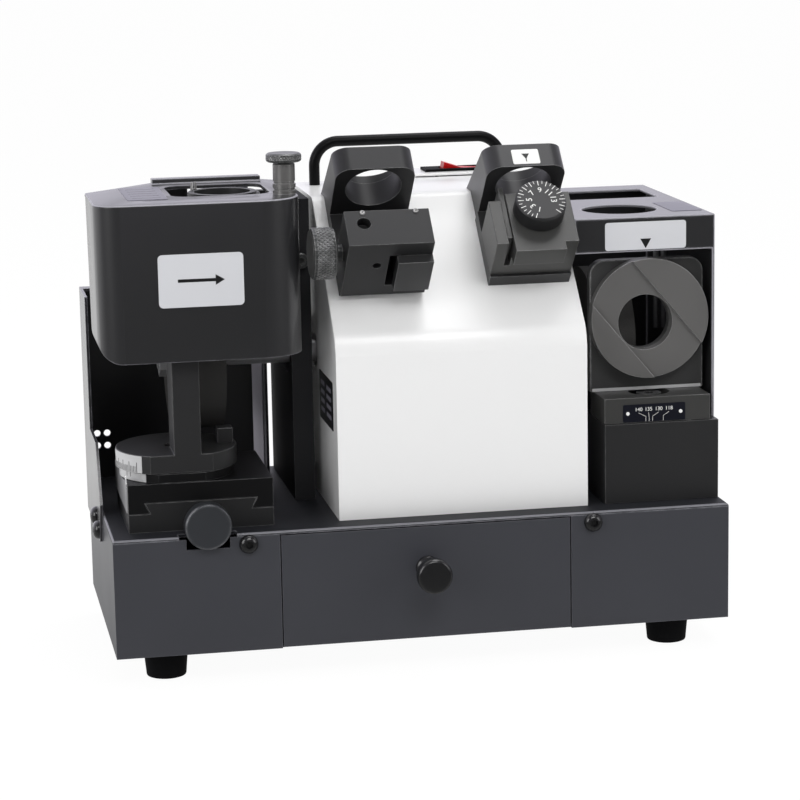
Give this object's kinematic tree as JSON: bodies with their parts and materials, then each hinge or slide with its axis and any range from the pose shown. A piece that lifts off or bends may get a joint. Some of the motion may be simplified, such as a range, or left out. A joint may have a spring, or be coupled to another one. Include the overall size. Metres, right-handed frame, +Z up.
{
  "type": "tool and cutter grinder",
  "caption": "Bench grinder for end mills and drills: sheet base with drawer, motor body with chuck setting rings, hinged cover over a swivelling mill station, hooded drill station.",
  "frame": {"origin": "centre of the bounds on the plane of the feet", "axes": "+X to the right along the spindle, +Y from the drawer to the back, +Z up"},
  "size_m": [0.4464, 0.28, 0.3642],
  "materials": {
    "charcoal_paint": "satin textured paint",
    "black_paint": "satin black powder coat",
    "white_paint": "satin white powder coat",
    "black_oxide": "black oxide, satin",
    "ground_steel": "ground and blackened",
    "bright_steel": "machined",
    "cast_iron": "as cast",
    "wheel_alloy": "abrasive coated",
    "rubber": "matt",
    "black_plastic": "matt",
    "red_plastic": "gloss"
  },
  "bodies": {
    "frame": {"base_deck": "charcoal_paint", "base_tub": "charcoal_paint", "base_front_panels": "charcoal_paint", "rubber_feet": "rubber", "foot_screws": "bright_steel", "case_screws": "black_oxide", "drawer_runners": "charcoal_paint", "body_shell": "white_paint", "body_left_side": "white_paint", "body_right_side": "white_paint", "carry_handle": "black_oxide", "switch_box": "white_paint", "switch_bezel": "black_plastic", "power_inlet": "black_plastic", "motor_housing": "cast_iron", "motor_end_bells": "cast_iron", "motor_stator": "bright_steel", "motor_cradle": "cast_iron", "spindle_bearings": "bright_steel", "dovetail_base": "black_oxide", "cover_hinge_bar": "black_oxide", "cover_hinge_pin": "bright_steel", "support_post": "black_oxide", "rear_guard": "black_paint", "left_ring": "black_oxide", "left_stop_block": "black_oxide", "right_ring": "black_oxide", "right_stop_block": "black_oxide", "fixture_bolts": "bright_steel", "drill_pedestal": "black_oxide", "drill_pivot_bolt": "black_oxide", "drill_hood": "black_paint", "wheel_dresser": "bright_steel"},
    "drawer": {"drawer_front": "charcoal_paint", "drawer_tray": "charcoal_paint", "drawer_knob": "black_plastic"},
    "spindle": {"spindle_shaft": "bright_steel", "motor_rotor": "bright_steel", "mill_wheel": "wheel_alloy", "drill_wheel": "wheel_alloy", "wheel_nuts": "bright_steel"},
    "rocker": {"switch_rocker": "red_plastic"},
    "mill_feed_screw": {"feed_screw": "bright_steel", "feed_knob": "black_oxide"},
    "mill_slide": {"dovetail_slide": "black_oxide", "angle_scale": "ground_steel"},
    "mill_head": {"swivel_bracket": "black_oxide", "swivel_lock_nut": "black_oxide", "mill_seat": "black_oxide", "index_pin": "bright_steel"},
    "cover": {"mill_cover": "black_paint", "plunger_bush": "black_oxide"},
    "plunger": {"plunger_pin": "black_oxide"},
    "left_adjuster": {"left_knob": "black_oxide"},
    "left_stop": {"left_slider": "black_oxide"},
    "dial": {"right_dial": "black_oxide"},
    "stop_blade": {"right_stop": "black_oxide"},
    "drill_head": {"drill_swivel_block": "black_oxide", "drill_seat_plate": "black_oxide", "drill_seat_disc": "ground_steel"}
  },
  "joints": [
    {"name": "drawer_slide", "type": "slide", "parent": "frame", "child": "drawer", "axis": [0, -1, 0], "range_m": [0, 0.15]},
    {"name": "spindle_spin", "type": "hinge", "parent": "frame", "child": "spindle", "pos_m": [0.0032, 0.004, 0.212], "axis": [1, 0, 0], "continuous": true},
    {"name": "switch_rock", "type": "hinge", "parent": "frame", "child": "rocker", "pos_m": [0.0772, 0.116, 0.325], "axis": [0, -1, 0], "range_deg": [0, 22]},
    {"name": "feed_turn", "type": "hinge", "parent": "frame", "child": "mill_feed_screw", "pos_m": [-0.1508, -0.061, 0.1134], "axis": [0, 1, 0], "range_deg": [-962, 962]},
    {"name": "mill_feed", "type": "slide", "parent": "frame", "child": "mill_slide", "axis": [0, 1, 0], "range_m": [-0.004, 0.004]},
    {"name": "mill_swivel", "type": "hinge", "parent": "mill_slide", "child": "mill_head", "pos_m": [-0.1653, -0.0555, 0.152], "axis": [0, 0, 1], "range_deg": [-5, 5]},
    {"name": "cover_hinge", "type": "hinge", "parent": "frame", "child": "cover", "pos_m": [-0.1308, 0.035, 0.32], "axis": [-1, 0, 0], "range_deg": [0, 70]},
    {"name": "plunger_pull", "type": "slide", "parent": "cover", "child": "plunger", "axis": [0, 0, 1], "range_m": [0, 0.008], "stiffness_N_per_m": 400, "springref_m": -0.004},
    {"name": "left_turn", "type": "hinge", "parent": "frame", "child": "left_adjuster", "pos_m": [-0.0568, -0.08118, 0.29463], "axis": [1, 0, 0], "range_deg": [-962, 962]},
    {"name": "left_slide", "type": "slide", "parent": "frame", "child": "left_stop", "axis": [1, 0, 0], "range_m": [-0.004, 0.004]},
    {"name": "dial_turn", "type": "hinge", "parent": "frame", "child": "dial", "pos_m": [0.0942, -0.0734, 0.31655], "axis": [0, -0.7071, 0.7071], "range_deg": [-151, 151]},
    {"name": "stop_slide", "type": "slide", "parent": "frame", "child": "stop_blade", "axis": [0, 0.7071, 0.7071], "range_m": [-0.005, 0.005]},
    {"name": "drill_swivel", "type": "hinge", "parent": "frame", "child": "drill_head", "pos_m": [0.1762, -0.0675, 0.172], "axis": [0, 0, 1], "range_deg": [-5, 5]}
  ],
  "couplings": [
    {"joint": "feed_turn", "follows": "mill_feed", "rad_per_m": 4188.8},
    {"joint": "left_turn", "follows": "left_slide", "rad_per_m": 4188.8},
    {"joint": "dial_turn", "follows": "stop_slide", "rad_per_m": 523.6}
  ]
}
